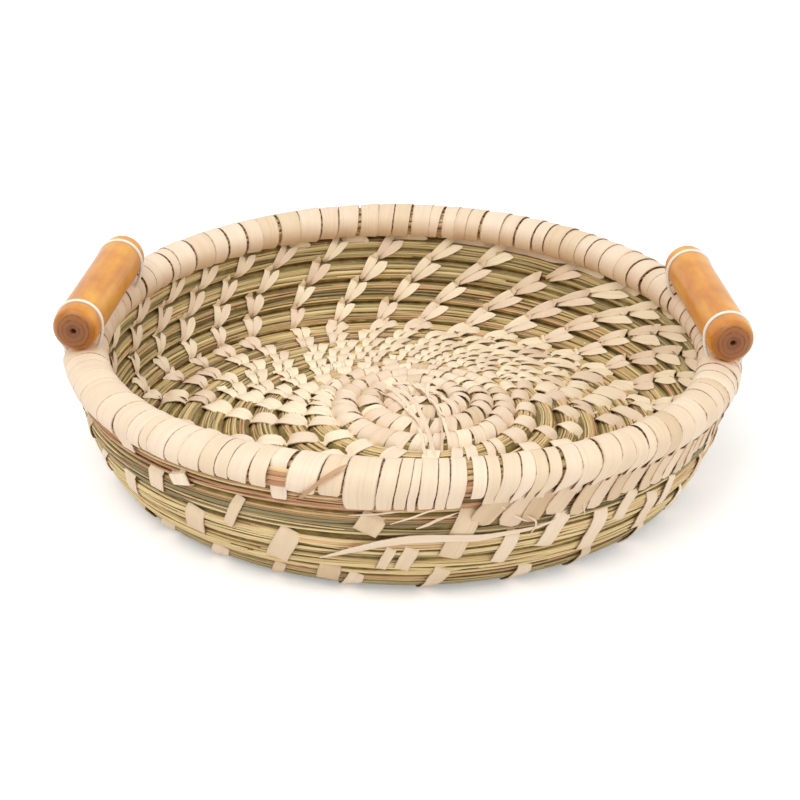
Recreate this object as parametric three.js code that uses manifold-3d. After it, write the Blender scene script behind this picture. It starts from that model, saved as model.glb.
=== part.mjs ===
// A round coiled straw tray with a wrapped rim and two turned wooden handles lashed on top of it.
// Millimetres, +Z up, the tray stands on z = 0 and its handles are on the X sides.
// A bundle of dry grass runs in one spiral from the middle of the floor, over the base and up the
// wall. The rim is the last bundle, wound closely with a palm strip. Each handle lies in two
// loops of thin cord, which pass through the rim.

import * as THREE from 'three';
import { mergeVertices } from 'three/addons/utils/BufferGeometryUtils.js';
import Module from 'manifold-3d';

const wasm = await Module();
wasm.setup();

// Room left between pieces that touch on the real tray
const seatGap = 0.35;

// The straw bundle and its spiral
const bundleThickness = 13; // through the floor or the wall
const rowGap = 0.8; // between neighbouring rows
const startRadius = 8; // first full turn round the middle
const startTurns = 0.7; // part of a turn before it, over which the bundle grows from its thin start
const coreRadius = 1; // the little hole that the bundle curls round
const floorTurns = 10;
const baseRadius = 149; // centre line of the row that the tray stands on
const domeHeight = 12; // how far the middle of the floor rises
const footReach = 10; // how far the wall runs on flat past the base
const bellyInset = 4.5; // the wall's curve, measured in from the rim and up from the base
const bellyHeight = 17;
const spiralShiftX = 12; // the middle of the spiral is not quite in the middle of the tray
const spiralShiftY = 26;
const wallRows = 5;
const endTaper = 0.16; // part of a turn that is missing where the bundle thins out under the rim
const coilSteps = 24; // per turn
const standDepth = bundleThickness / 10; // depth of the worn flat that the tray stands on

// The rim
const rimRadius = 178.25; // to the centre line
const rimHeight = 70.9; // centre line above the ground
const rimHalfWidth = 11.75; // over the palm strip
const rimHalfHeight = 9.7;
const rimDip = 2.6; // the rim dips this much at the handles and rises as much between them
const wrapThickness = 1.4;
const wrapRibDepth = 0.6; // step from one turn of the strip to the next
const wrapTurns = 96;
const wrapRibPart = 0.82; // of a turn, over which its outside slopes down before the next step
const wrapSlant = 0.6; // lean of a turn, in turns, from the inside of the rim to the outside
const wrapSlit = 35; // degrees to each side of the underside that the wall row needs
const wrapSides = 5; // flats round a turn of the strip
const rimBundlePlay = 0.75; // between the rim's bundle and the strip round it

// The handles
const handleDiameter = 25.4;
const handleLength = 118;
const handleEndRounding = 5;
const grooveInset = 13.3; // from each end of the handle
const grooveDepth = 1.2;
const grooveWidth = 3.4;
const pithDiameter = 2.6;
const pithDepth = 4;
const handleInset = 5.1; // from the rim's centre line to the handle's axis, at its middle
const handleBack = 4; // degrees round the rim, towards the back
const handleToeIn = 2.6; // degrees, away from the rim's own direction
const handleFacets = 18;

// The cord loops
const cordDiameter = 2;
const cordDepth = 8.6; // below the top of the rim, where a loop passes through it
const cordSteps = 24;
const cordSides = 5;

// Values that follow from the sizes above
const halfBundle = bundleThickness / 2;
const standHeight = halfBundle - standDepth;
const floorPitch = (baseRadius - startRadius) / floorTurns;
const domeRadius = baseRadius - floorPitch;
const rimCoilInset = wrapRibDepth + wrapThickness + rimBundlePlay; // from the strip's outside
const wallTop = rimHeight - (rimHalfHeight - rimCoilInset) - seatGap;
const handleRadius = handleDiameter / 2;
const grooveSpacing = handleLength - 2 * grooveInset;
const handleAxisHeight = rimHeight - rimDip + rimHalfHeight + seatGap + handleRadius;
const twoPi = 2 * Math.PI;

// The wall leaves the base flat and turns upright under the rim
const wallCurve = new THREE.CubicBezierCurve(
  new THREE.Vector2(baseRadius, standHeight),
  new THREE.Vector2(baseRadius + footReach, standHeight),
  new THREE.Vector2(rimRadius - bellyInset, standHeight + bellyHeight),
  new THREE.Vector2(rimRadius, wallTop)
);
const wallLength = wallCurve.getLength();
const wallPitch = wallLength / wallRows;
const coilTurns = floorTurns + wallRows + 0.5;

// A point of the tray's middle surface, by its distance from the centre along the surface, with
// the direction that points out of the inner face
function surfaceAt(distance) {
  if (distance <= baseRadius) {
    const phase = Math.PI * Math.min(distance / domeRadius, 1);
    const height = standHeight + (domeHeight * (1 + Math.cos(phase))) / 2;
    const slope = (-domeHeight * Math.PI * Math.sin(phase)) / (2 * domeRadius);
    const length = Math.hypot(1, slope);
    return { radius: distance, height, normalR: -slope / length, normalZ: 1 / length, lift: 0 };
  }
  const part = Math.min((distance - baseRadius) / wallLength, 1);
  const point = wallCurve.getPointAt(part);
  const tangent = wallCurve.getTangentAt(part);
  const lift = part * part * (3 - 2 * part);
  return { radius: point.x, height: point.y, normalR: -tangent.y, normalZ: tangent.x, lift };
}

// Where a point at a radius and a height lies in space. The rows of the floor close up on the
// side that the spiral is shifted to, and the rim dips at the handles.
function place(radius, height, angle, lift) {
  const part = Math.min(radius / baseRadius, 1);
  const shift = (1 - part * part) * (1 - part * part);
  return new THREE.Vector3(
    radius * Math.cos(angle) + spiralShiftX * shift,
    radius * Math.sin(angle) + spiralShiftY * shift,
    height - rimDip * lift * Math.cos(2 * angle)
  );
}

// Distance of a row's middle from the centre after a number of turns
function rowMiddle(turns) {
  if (turns <= floorTurns) {
    return startRadius + floorPitch * turns;
  }
  return baseRadius + wallPitch * (turns - floorTurns);
}

// The two edges of the row. In the last turn the upper edge stays level and the bundle thins out.
function rowEdges(turns) {
  const inner = (rowMiddle(turns - 1) + rowMiddle(turns)) / 2 + rowGap / 2;
  const lower = Math.max(inner, coreRadius);
  const level = Math.min(turns, coilTurns - 1);
  const upper = (rowMiddle(level) + rowMiddle(level + 1)) / 2 - rowGap / 2;
  return { lower, upper };
}

function bodyFromRings(rings, closed) {
  const sides = rings[0].length;
  const positions = [];
  const triangles = [];
  for (const ring of rings) {
    for (const point of ring) {
      positions.push(point.x, point.y, point.z);
    }
  }
  const spans = closed ? rings.length : rings.length - 1;
  for (let ring = 0; ring < spans; ring += 1) {
    const here = ring * sides;
    const next = ((ring + 1) % rings.length) * sides;
    for (let side = 0; side < sides; side += 1) {
      const other = (side + 1) % sides;
      triangles.push(here + side, next + side, next + other);
      triangles.push(here + side, next + other, here + other);
    }
  }
  if (!closed) {
    const last = (rings.length - 1) * sides;
    for (let side = 1; side < sides - 1; side += 1) {
      triangles.push(0, side, side + 1);
      triangles.push(last, last + side + 1, last + side);
    }
  }
  const geometry = new THREE.BufferGeometry();
  geometry.setAttribute('position', new THREE.Float32BufferAttribute(positions, 3));
  geometry.setIndex(triangles);
  return facingOut(geometry);
}

// Turns a closed mesh so that its faces point out
function facingOut(geometry) {
  const position = geometry.getAttribute('position');
  const index = geometry.getIndex().array;
  const corners = [new THREE.Vector3(), new THREE.Vector3(), new THREE.Vector3()];
  let volume = 0;
  for (let face = 0; face < index.length; face += 3) {
    corners.forEach((corner, order) => corner.fromBufferAttribute(position, index[face + order]));
    volume += corners[0].dot(corners[1].clone().cross(corners[2]));
  }
  if (volume < 0) {
    geometry.setIndex(Array.from(index).reverse());
  }
  return geometry;
}

function solidFrom(geometry) {
  const bare = new THREE.BufferGeometry();
  bare.setAttribute('position', geometry.getAttribute('position').clone());
  if (geometry.getIndex()) {
    bare.setIndex(geometry.getIndex().clone());
  }
  const merged = mergeVertices(bare, 1e-4);
  const vertProperties = new Float32Array(merged.getAttribute('position').array);
  const triVerts = new Uint32Array(merged.getIndex().array);
  return new wasm.Manifold(new wasm.Mesh({ numProp: 3, vertProperties, triVerts }));
}

function geometryFrom(solid) {
  const mesh = solid.getMesh();
  const geometry = new THREE.BufferGeometry();
  geometry.setAttribute('position', new THREE.Float32BufferAttribute(mesh.vertProperties, 3));
  geometry.setIndex(Array.from(mesh.triVerts));
  return geometry;
}

// The outline of the bundle at one place of the spiral: its ridges show on the two faces of the
// tray, and its flat sides face the neighbouring rows
function bundleRing(turns) {
  const { lower, upper } = rowEdges(turns);
  const middle = (lower + upper) / 2;
  const fullWidth = rowMiddle(coilTurns) - rowMiddle(coilTurns - 1) - rowGap;
  const thinning = Math.min((upper - lower) / fullWidth, 1);
  const half = halfBundle * (0.4 + 0.6 * thinning);
  const outline = [
    [upper, half / 2],
    [middle, half],
    [lower, half / 2],
    [lower, -half / 2],
    [middle, -half],
    [upper, -half / 2],
  ];
  const angle = twoPi * turns;
  return outline.map(([distance, depth]) => {
    const surface = surfaceAt(distance);
    const radius = surface.radius + depth * surface.normalR;
    const height = surface.height + depth * surface.normalZ;
    return place(radius, height, angle, surface.lift);
  });
}

function bundleRings(firstTurn, lastTurn) {
  const rings = [bundleRing(firstTurn)];
  const firstStep = Math.floor(firstTurn * coilSteps + 0.5) + 1;
  for (let step = firstStep; step < lastTurn * coilSteps - 0.5; step += 1) {
    rings.push(bundleRing(step / coilSteps));
  }
  rings.push(bundleRing(lastTurn));
  return rings;
}

// Least distance between rings that lie more than half a turn apart on the spiral
function leastGap(rings) {
  let least = Infinity;
  for (let near = 0; near < rings.length; near += 1) {
    for (let far = near + Math.ceil(coilSteps * 0.6); far < rings.length; far += 1) {
      for (const point of rings[near]) {
        for (const other of rings[far]) {
          least = Math.min(least, point.distanceTo(other));
        }
      }
    }
  }
  return least;
}

// The flat that the tray stands on, cut from whatever reaches below the ground
function cutAtGround(geometry) {
  const reach = 4 * rimRadius;
  const ground = new THREE.BoxGeometry(reach, reach, bundleThickness);
  ground.translate(0, 0, -bundleThickness / 2);
  return solidFrom(geometry).subtract(solidFrom(ground));
}

function rimSection(offset, sideAngle, angle) {
  const radius = rimRadius + (rimHalfWidth - offset) * Math.cos(sideAngle);
  const height = rimHeight + (rimHalfHeight - offset) * Math.sin(sideAngle);
  return place(radius, height, angle, 1);
}

// Direction round the rim's section, from one edge of the strip over the top to the other
function wrapAngle(part) {
  const slit = (wrapSlit * Math.PI) / 180;
  return -Math.PI / 2 + slit + (twoPi - 2 * slit) * part;
}

function rimCoilGeometry() {
  const rings = [];
  const steps = wrapTurns / 2;
  for (let step = 0; step < steps; step += 1) {
    const angle = (twoPi * step) / steps;
    const ring = [rimSection(rimCoilInset, -Math.PI / 2, angle)];
    for (let side = 0; side <= wrapSides; side += 1) {
      ring.push(rimSection(rimCoilInset, wrapAngle(side / wrapSides), angle));
    }
    rings.push(ring);
  }
  return bodyFromRings(rings, true);
}

// The palm strip round the rim. Each turn overlaps the one before it, so the outside is stepped.
// The turns are open underneath, where the top row of the wall meets the rim bundle.
function rimWrapGeometry() {
  const rings = [];
  for (let step = 0; step < 2 * wrapTurns; step += 1) {
    const raised = step % 2 === 0;
    const turn = Math.floor(step / 2) + (raised ? 0 : wrapRibPart);
    const outside = [];
    const inside = [];
    for (let side = 0; side <= wrapSides; side += 1) {
      const part = side / wrapSides;
      const angle = (twoPi * (turn + wrapSlant * (part - 0.5))) / wrapTurns;
      outside.push(rimSection(raised ? 0 : wrapRibDepth, wrapAngle(part), angle));
      inside.push(rimSection(wrapRibDepth + wrapThickness, wrapAngle(part), angle));
    }
    rings.push(outside.concat(inside.reverse()));
  }
  return bodyFromRings(rings, true);
}

// Half of the turned outline of a handle, from the pith hole in its end to the middle
function handleProfile() {
  const end = handleLength / 2;
  const groove = grooveSpacing / 2;
  const shoulder = end - handleEndRounding;
  const half = [
    [0, end - pithDepth],
    [pithDiameter / 2, end - pithDepth + 0.6],
    [pithDiameter / 2, end],
  ];
  const roundingSteps = 3;
  for (let step = 0; step <= roundingSteps; step += 1) {
    const turn = (Math.PI / 2) * (step / roundingSteps);
    const radius = handleRadius - handleEndRounding * (1 - Math.sin(turn));
    half.push([radius, shoulder + handleEndRounding * Math.cos(turn)]);
  }
  half.push([handleRadius, groove + grooveWidth / 2]);
  half.push([handleRadius - grooveDepth, groove + grooveWidth / 4]);
  half.push([handleRadius - grooveDepth, groove - grooveWidth / 4]);
  half.push([handleRadius, groove - grooveWidth / 2]);
  const points = half.map(([radius, along]) => new THREE.Vector2(radius, along));
  const mirrored = half.map(([radius, along]) => new THREE.Vector2(radius, -along)).reverse();
  return points.concat(mirrored).reverse();
}

function handleGeometry() {
  return new THREE.LatheGeometry(handleProfile(), handleFacets);
}

// A cord loop, in the plane square to the handle: round the groove above, and narrowing to its
// passage through the rim below
class CordLoop extends THREE.Curve {
  getPoint(part, target = new THREE.Vector3()) {
    const turn = twoPi * part;
    const round = handleRadius - grooveDepth + seatGap + cordDiameter / 2;
    const deep = handleRadius + seatGap + cordDepth;
    const drop = Math.sin(turn) < 0 ? deep : round;
    return target.set(round * Math.cos(turn), 0, drop * Math.sin(turn));
  }
}

function loopGeometry(extra) {
  const radius = cordDiameter / 2 + extra;
  return new THREE.TubeGeometry(new CordLoop(), cordSteps, radius, cordSides, true);
}

// The place and direction of a handle: +1 is the one on the +X side, -1 the one on the -X side
function handleFrame(side) {
  const back = (handleBack * Math.PI) / 180;
  const angle = side > 0 ? back : Math.PI - back;
  const frame = new THREE.Group();
  const radius = rimRadius - handleInset;
  frame.position.set(radius * Math.cos(angle), radius * Math.sin(angle), handleAxisHeight);
  frame.rotation.z = side * (back + (handleToeIn * Math.PI) / 180);
  return frame;
}

function material(color, roughness) {
  return new THREE.MeshStandardMaterial({ color, roughness, metalness: 0 });
}

function named(name, geometry, look) {
  const mesh = new THREE.Mesh(geometry, look);
  mesh.name = name;
  return mesh;
}

const tray = new THREE.Group();

// The handles with their cord loops, and the passages that the loops need
const passages = [];
for (const side of [-1, 1]) {
  const word = side > 0 ? 'right' : 'left';
  const frame = handleFrame(side);
  const handle = named(`handle_${word}`, handleGeometry(), material(0xd99a55, 0.45));
  frame.add(handle);
  for (const end of [-1, 1]) {
    const where = end > 0 ? 'back' : 'front';
    const loop = named(`cord_loop_${word}_${where}`, loopGeometry(0), material(0xf6efdd, 0.8));
    loop.position.y = (end * grooveSpacing) / 2;
    frame.add(loop);
    frame.updateMatrixWorld(true);
    passages.push(solidFrom(loopGeometry(seatGap).applyMatrix4(loop.matrixWorld)));
  }
  tray.add(frame);
}

function withPassages(solid) {
  return geometryFrom(passages.reduce((left, passage) => left.subtract(passage), solid));
}

// The floor and the wall are one unbroken bundle
const coilRings = bundleRings(-startTurns, coilTurns - endTaper);
console.log(`least gap between turns of the coil: ${leastGap(coilRings).toFixed(2)} mm`);
const coilBody = cutAtGround(bodyFromRings(coilRings, false));
tray.add(named('straw_coil', geometryFrom(coilBody), material(0xb5a57a, 0.85)));

const rimCoilBody = solidFrom(rimCoilGeometry());
tray.add(named('rim_coil', withPassages(rimCoilBody), material(0xb08a68, 0.85)));
const rimWrapBody = solidFrom(rimWrapGeometry());
tray.add(named('rim_wrap', withPassages(rimWrapBody), material(0xf3e3c4, 0.7)));

export default tray;
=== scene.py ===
import math

import bmesh
import bpy
import numpy as np
from mathutils import Matrix, Vector


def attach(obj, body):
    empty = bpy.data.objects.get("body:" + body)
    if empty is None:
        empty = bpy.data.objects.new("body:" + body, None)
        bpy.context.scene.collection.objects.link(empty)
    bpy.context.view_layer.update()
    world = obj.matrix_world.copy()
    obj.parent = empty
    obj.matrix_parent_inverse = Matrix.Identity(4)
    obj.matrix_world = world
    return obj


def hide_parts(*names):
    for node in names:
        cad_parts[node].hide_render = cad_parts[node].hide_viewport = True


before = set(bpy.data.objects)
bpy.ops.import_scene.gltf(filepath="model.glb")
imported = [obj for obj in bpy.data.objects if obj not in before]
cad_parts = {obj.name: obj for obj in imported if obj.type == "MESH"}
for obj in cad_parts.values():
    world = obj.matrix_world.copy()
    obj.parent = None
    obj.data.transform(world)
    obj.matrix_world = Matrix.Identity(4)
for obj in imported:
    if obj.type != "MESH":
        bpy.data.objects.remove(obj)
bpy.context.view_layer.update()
print("frame loaded")

fullTurn = 2 * math.pi

# The camera
cameraPlan = {
    "target": (0.0, 0.0, 0.040),
    "distance": 1.2027,
    "elevation": 25.33,  # degrees above the table
    "roll": 1.02,
    "lens": 94.29,
    "sensor": 36.0,
    "shift": (-0.0030, -0.0175),
    "clip": (0.05, 60),
    "picture": 800,  # pixels across the photo
}


def cameraAxes(plan):
    # to the right, up, and back to the camera
    rise, lean = math.radians(plan["elevation"]), math.radians(plan["roll"])
    back = Vector((0, -math.cos(rise), math.sin(rise)))
    right = Vector((1, 0, 0))
    up = back.cross(right)
    return right * math.cos(lean) + up * math.sin(lean), up * math.cos(lean) - right * math.sin(lean), back


def pictureColumn(points, plan):
    # the column of the photo in which the camera sees each point
    right, _, back = cameraAxes(plan)
    spot = points - np.array(Vector(plan["target"]) + back * plan["distance"])
    aside = spot @ np.array(right) / -(spot @ np.array(back))
    return plan["picture"] * (0.5 - plan["shift"][0] + plan["lens"] / plan["sensor"] * aside)


def makeCamera(plan):
    right, up, back = cameraAxes(plan)
    data = bpy.data.cameras.new("camera")
    data.lens, data.sensor_width = plan["lens"], plan["sensor"]
    data.shift_x, data.shift_y = plan["shift"]
    data.clip_start, data.clip_end = plan["clip"]
    camera = bpy.data.objects.new("camera", data)
    turn = Matrix((right, up, back)).transposed().to_4x4()
    camera.matrix_world = Matrix.Translation(Vector(plan["target"]) + back * plan["distance"]) @ turn
    bpy.context.scene.collection.objects.link(camera)
    bpy.context.scene.camera = camera


makeCamera(cameraPlan)
print("camera ready")

# The tray's own sizes, in metres, the same as the frame's
tray = {
    "bundleThickness": 0.013,
    "rowGap": 0.0008,
    "startRadius": 0.008,
    "startTurns": 0.7,
    "coreRadius": 0.001,
    "floorTurns": 10,
    "baseRadius": 0.149,
    "domeHeight": 0.012,
    "footReach": 0.010,
    "bellyInset": 0.0045,
    "bellyHeight": 0.017,
    "spiralShift": (0.012, 0.026),
    "wallRows": 5,
    "endTaper": 0.16,
    "rimRadius": 0.17825,
    "rimHeight": 0.0709,
    "rimHalfWidth": 0.01175,
    "rimHalfHeight": 0.0097,
    "rimDip": 0.0026,
    "rimBundleInset": 0.00275,
    "seatGap": 0.00035,
}
halfBundle = tray["bundleThickness"] / 2
standHeight = halfBundle - tray["bundleThickness"] / 10
floorPitch = (tray["baseRadius"] - tray["startRadius"]) / tray["floorTurns"]
domeRadius = tray["baseRadius"] - floorPitch
wallTop = tray["rimHeight"] - (tray["rimHalfHeight"] - tray["rimBundleInset"]) - tray["seatGap"]
coilTurns = tray["floorTurns"] + tray["wallRows"] + 0.5
coilEnd = coilTurns - tray["endTaper"]
rimOutside = tray["rimRadius"] + tray["rimHalfWidth"]


def lengthsOf(path):
    return np.concatenate([[0], np.cumsum(np.linalg.norm(np.diff(path, axis=0), axis=1))])


def unit(vectors):
    return vectors / np.maximum(np.linalg.norm(vectors, axis=1), 1e-9)[:, None]


def steps(value, *stops):
    # a value read from pairs of place and value
    return np.interp(value, *zip(*stops))


def wallTable():
    # the wall's curve as a table of length, radius, height and direction
    corners = np.array([
        (tray["baseRadius"], standHeight),
        (tray["baseRadius"] + tray["footReach"], standHeight),
        (tray["rimRadius"] - tray["bellyInset"], standHeight + tray["bellyHeight"]),
        (tray["rimRadius"], wallTop),
    ])
    u = np.linspace(0, 1, 801)[:, None]
    weights = (1 - u) ** 3, 3 * u * (1 - u) ** 2, 3 * u ** 2 * (1 - u), u ** 3
    points = sum(corner * weight for corner, weight in zip(corners, weights))
    return lengthsOf(points), points, unit(np.gradient(points, axis=0))


wallLengths, wallPoints, wallTangents = wallTable()
wallLength = wallLengths[-1]
wallPitch = wallLength / tray["wallRows"]
wallEdge = tray["baseRadius"] + wallLength


def placed(distance, depth, angle):
    # a point by its distance along the tray's surface, its depth towards the inside and its direction
    distance, depth, angle = np.broadcast_arrays(np.asarray(distance, float), depth, angle)
    phase = math.pi * np.minimum(distance / domeRadius, 1)
    floorHeight = standHeight + tray["domeHeight"] * (1 + np.cos(phase)) / 2
    slope = -tray["domeHeight"] * math.pi * np.sin(phase) / (2 * domeRadius)
    size = np.hypot(1, slope)
    along = np.clip(distance - tray["baseRadius"], 0, wallLength)
    onWall = distance > tray["baseRadius"]
    past = np.maximum(distance - wallEdge, 0)
    tangentR, tangentZ = (np.interp(along, wallLengths, wallTangents[:, axis]) for axis in (0, 1))
    wallR, wallZ = (np.interp(along, wallLengths, wallPoints[:, axis]) for axis in (0, 1))
    radius = np.where(onWall, wallR + past * tangentR, distance) + depth * np.where(onWall, -tangentZ, -slope / size)
    height = np.where(onWall, wallZ + past * tangentZ, floorHeight) + depth * np.where(onWall, tangentR, 1 / size)
    part = along / wallLength
    return bent(radius, height, angle, np.where(onWall, part * part * (3 - 2 * part), 0))


def bent(radius, height, angle, lift):
    # the middle of the spiral lies off centre, and the rim dips at the handles
    part = np.minimum(radius / tray["baseRadius"], 1)
    shift = (1 - part * part) ** 2
    x = radius * np.cos(angle) + tray["spiralShift"][0] * shift
    y = radius * np.sin(angle) + tray["spiralShift"][1] * shift
    return np.stack([x, y, height - tray["rimDip"] * lift * np.cos(2 * angle)], axis=-1)


def rowMiddle(turns):
    turns = np.asarray(turns, float)
    inFloor = tray["startRadius"] + floorPitch * turns
    inWall = tray["baseRadius"] + wallPitch * (turns - tray["floorTurns"])
    return np.where(turns <= tray["floorTurns"], inFloor, inWall)


def rowEdges(turns):
    turns = np.asarray(turns, float)
    lower = (rowMiddle(turns - 1) + rowMiddle(turns)) / 2 + tray["rowGap"] / 2
    level = np.minimum(turns, coilTurns - 1)
    upper = (rowMiddle(level) + rowMiddle(level + 1)) / 2 - tray["rowGap"] / 2
    return np.maximum(lower, tray["coreRadius"]), upper


def rowSpan(turns):
    # the middle and half the width of a row
    lower, upper = rowEdges(turns)
    return (lower + upper) / 2, (upper - lower) / 2


def rowThickness(turns):
    lower, upper = rowEdges(turns)
    return halfBundle * (0.4 + 0.6 * np.minimum((upper - lower) / (wallPitch - tray["rowGap"]), 1))


def fullness(turns):
    # the bundles press on each other, most of all in the wall: 1 is an oval, less is squarer
    return np.interp(turns, [7.0, 10.5], [0.78, 0.58])


def squared(value, power=0.66):
    return np.sign(value) * np.abs(value) ** power


def sectionTable():
    turn = np.linspace(0, fullTurn, 1441)
    length = lengthsOf(np.stack([squared(np.cos(turn)), squared(np.sin(turn))], 1))
    return length / length[-1], turn


sectionShares, sectionTurns = sectionTable()


def sectionAt(share):
    # the direction round the bundle after a share of its girth
    return np.interp(np.mod(share, 1), sectionShares, sectionTurns)


def onBundle(turns, section, inset):
    # a point round the bundle: section 0 faces the next row out, a quarter turn faces inside
    middle, half = rowSpan(turns)
    distance = middle + np.maximum(half - inset, 0) * squared(np.cos(section), fullness(turns))
    depth = np.maximum(rowThickness(turns) - inset, 0) * squared(np.sin(section), fullness(turns))
    return placed(distance, depth, fullTurn * np.asarray(turns, float))


def coverDepth(distance, angle, bridge):
    # how far the bundles stand out of the tray's middle surface; bridge is the least, as a share
    fraction = np.mod(angle / fullTurn, 1)
    depth = np.full(np.broadcast(distance, angle).shape, bridge * halfBundle)
    for row in range(17):
        turns = row + fraction
        middle, half = rowSpan(turns)
        across = np.abs(distance - middle) / np.maximum(half, 1e-5)
        power = fullness(turns) / 2
        crown = rowThickness(turns) * np.maximum(1 - (0.98 * across) ** (1 / power), 0) ** power
        depth = np.where((across <= 1) & (turns < coilEnd), np.maximum(depth, crown), depth)
    return depth


def onCover(distance, angle, side, lift, bridge):
    # a point just off the bundles: side is 1 for the inside of the tray and -1 for the outside
    return placed(distance, side * (coverDepth(distance, angle, bridge) + lift), angle)


class Guides:
    # paths, which a Geometry Nodes tree turns into stalks and strips
    def __init__(self):
        self.paths = []

    def add(self, points, out, halfWidth, tone, tilt=0.0, stain=0.0):
        tangent = unit(np.gradient(points, axis=0))
        out = unit(out - tangent * np.sum(out * tangent, axis=1)[:, None])
        if tilt:
            out = out * math.cos(tilt) + np.cross(tangent, out) * math.sin(tilt)
        values = np.broadcast_arrays(halfWidth, float(tone), lengthsOf(points), stain)
        self.paths.append((points, out, np.stack(values, 1)))

    def addRound(self, points, heart, *values, **more):
        # on a bundle: outward is away from its heart
        self.add(points, points - heart + 1e-6, *values, **more)

    def addOn(self, points, distance, angle, *values, **more):
        # on the tray: outward is away from its middle surface
        self.add(points, points - placed(distance, 0.0, angle), *values, **more)

    def makeObject(self, name):
        counts = [len(path[0]) for path in self.paths]
        starts = np.cumsum([0] + counts[:-1])
        edges = np.concatenate([np.stack([np.arange(n - 1), np.arange(1, n)], 1) + s for n, s in zip(counts, starts)])
        points, out, values = (np.concatenate(part) for part in zip(*self.paths))
        mesh = bpy.data.meshes.new(name)
        mesh.vertices.add(len(points))
        mesh.vertices.foreach_set("co", points.ravel())
        mesh.edges.add(len(edges))
        mesh.edges.foreach_set("vertices", edges.ravel())
        for key, column in zip(("halfWidth", "tone", "along", "stain"), values.T):
            mesh.attributes.new(key, "FLOAT", "POINT").data.foreach_set("value", column)
        mesh.attributes.new("outward", "FLOAT_VECTOR", "POINT").data.foreach_set("vector", out.ravel())
        guide = bpy.data.objects.new(name, mesh)
        bpy.context.scene.collection.objects.link(guide)
        return guide


class Net:
    # a short hand for a node tree: an input takes a value or another node's output
    def __init__(self, tree):
        self.tree, self.nodes = tree, tree.nodes

    def fill(self, socket, value):
        if isinstance(value, bpy.types.NodeSocket):
            self.tree.links.new(value, socket)
        else:
            socket.default_value = value

    def node(self, kind, inputs=None, give=0, **settings):
        node = self.nodes.new(kind)
        for key, value in settings.items():
            setattr(node, key, value)
        for key, value in (inputs or {}).items():
            self.fill(node.inputs[key], value)
        return node.outputs[give]

    def maths(self, operation, *values, clamp=False):
        return self.node("ShaderNodeMath", dict(enumerate(values)), operation=operation, use_clamp=clamp)

    def times(self, product, *values):
        for value in values:
            product = self.maths("MULTIPLY", product, value)
        return product

    def noise(self, vector, scale, detail, give="Fac", **settings):
        return self.node("ShaderNodeTexNoise", {"Vector": vector, "Scale": scale, "Detail": detail}, give, **settings)

    def join(self, *parts):
        return self.node("ShaderNodeCombineXYZ", dict(enumerate(parts)))


def newTree(name, kind, inputs, outputs):
    # a number makes a value socket, and a word names another kind of socket
    tree = bpy.data.node_groups.new(name, kind)
    for way, sockets in (("INPUT", inputs), ("OUTPUT", outputs)):
        for key, value in sockets.items():
            word = value if isinstance(value, str) else type(value).__name__.title()
            socket = tree.interface.new_socket(key, in_out=way, socket_type="NodeSocket" + word)
            if word != value:
                socket.default_value = value
    net = Net(tree)
    return net, net.nodes.new("NodeGroupInput").outputs, net.nodes.new("NodeGroupOutput").inputs


def makeSweepTree():
    # sweeps an outline along each guide, as wide as the guide says; a low Roundness makes a flat ribbon
    net, given, result = newTree("sweepFibre", "GeometryNodeTree", {
        "Guides": "Geometry", "Sides": 6, "Flatness": 1.0, "Roundness": 1.0, "Unevenness": 0.0, "Bump size": 0.01,
        "Seed": 0.0, "Sharp above": 3.0, "Finish": "Material"}, {"Fibre": "Geometry"})

    def named(key, kind="FLOAT"):
        return net.node("GeometryNodeInputNamedAttribute", {"Name": key}, "Attribute", data_type=kind)

    curve = net.node("GeometryNodeMeshToCurve", {"Mesh": given["Guides"]})
    outward = named("outward", "FLOAT_VECTOR")
    curve = net.node("GeometryNodeSetCurveNormal", {"Curve": curve, "Normal": outward}, mode="FREE")

    circle = net.node("GeometryNodeCurvePrimitiveCircle", {"Radius": 1.0, "Resolution": given["Sides"]})
    place = net.node("GeometryNodeInputPosition")
    x, y, _ = net.node("ShaderNodeSeparateXYZ", {"Vector": place}).node.outputs
    boxy = net.maths("POWER", net.maths("ABSOLUTE", x), given["Roundness"])
    flat = net.join(net.times(boxy, net.maths("SIGN", x), given["Flatness"]), y)
    outline = net.node("GeometryNodeSetPosition", {"Geometry": circle, "Position": flat})
    side = net.maths("COSINE", net.maths("DIVIDE", math.pi, given["Sides"]))
    outline = net.node("GeometryNodeStoreNamedAttribute", {
        "Geometry": outline, "Name": "across", "Value": net.maths("DIVIDE", y, side),
    }, data_type="FLOAT", domain="POINT")

    shape = net.node("GeometryNodeCurveToMesh", {
        "Curve": curve, "Profile Curve": outline, "Scale": named("halfWidth"), "Fill Caps": True})
    noise = net.noise(place, net.maths("DIVIDE", 1.0, given["Bump size"]), 1.0, "Color", noise_dimensions="4D")
    net.fill(noise.node.inputs["W"], given["Seed"])
    centred = net.node("ShaderNodeVectorMath", {0: noise, 1: (0.5, 0.5, 0.5)}, operation="SUBTRACT")
    offset = net.node("ShaderNodeVectorMath", {0: centred, "Scale": given["Unevenness"]}, operation="SCALE")
    shape = net.node("GeometryNodeSetPosition", {"Geometry": shape, "Offset": offset})

    shape = net.node("GeometryNodeSetShadeSmooth", {"Geometry": shape})
    corner = net.node("GeometryNodeInputMeshEdgeAngle", give="Unsigned Angle")
    steep = net.node("FunctionNodeCompare", {0: corner, 1: given["Sharp above"]},
                     data_type="FLOAT", operation="GREATER_THAN")
    shape = net.node("GeometryNodeSetShadeSmooth", {
        "Geometry": shape, "Shade Smooth": False, "Selection": steep}, domain="EDGE")
    shape = net.node("GeometryNodeRealizeInstances", {"Geometry": shape})
    shape = net.node("GeometryNodeSetMaterial", {"Geometry": shape, "Material": given["Finish"]})
    net.fill(result["Fibre"], shape)
    return net.tree


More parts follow.
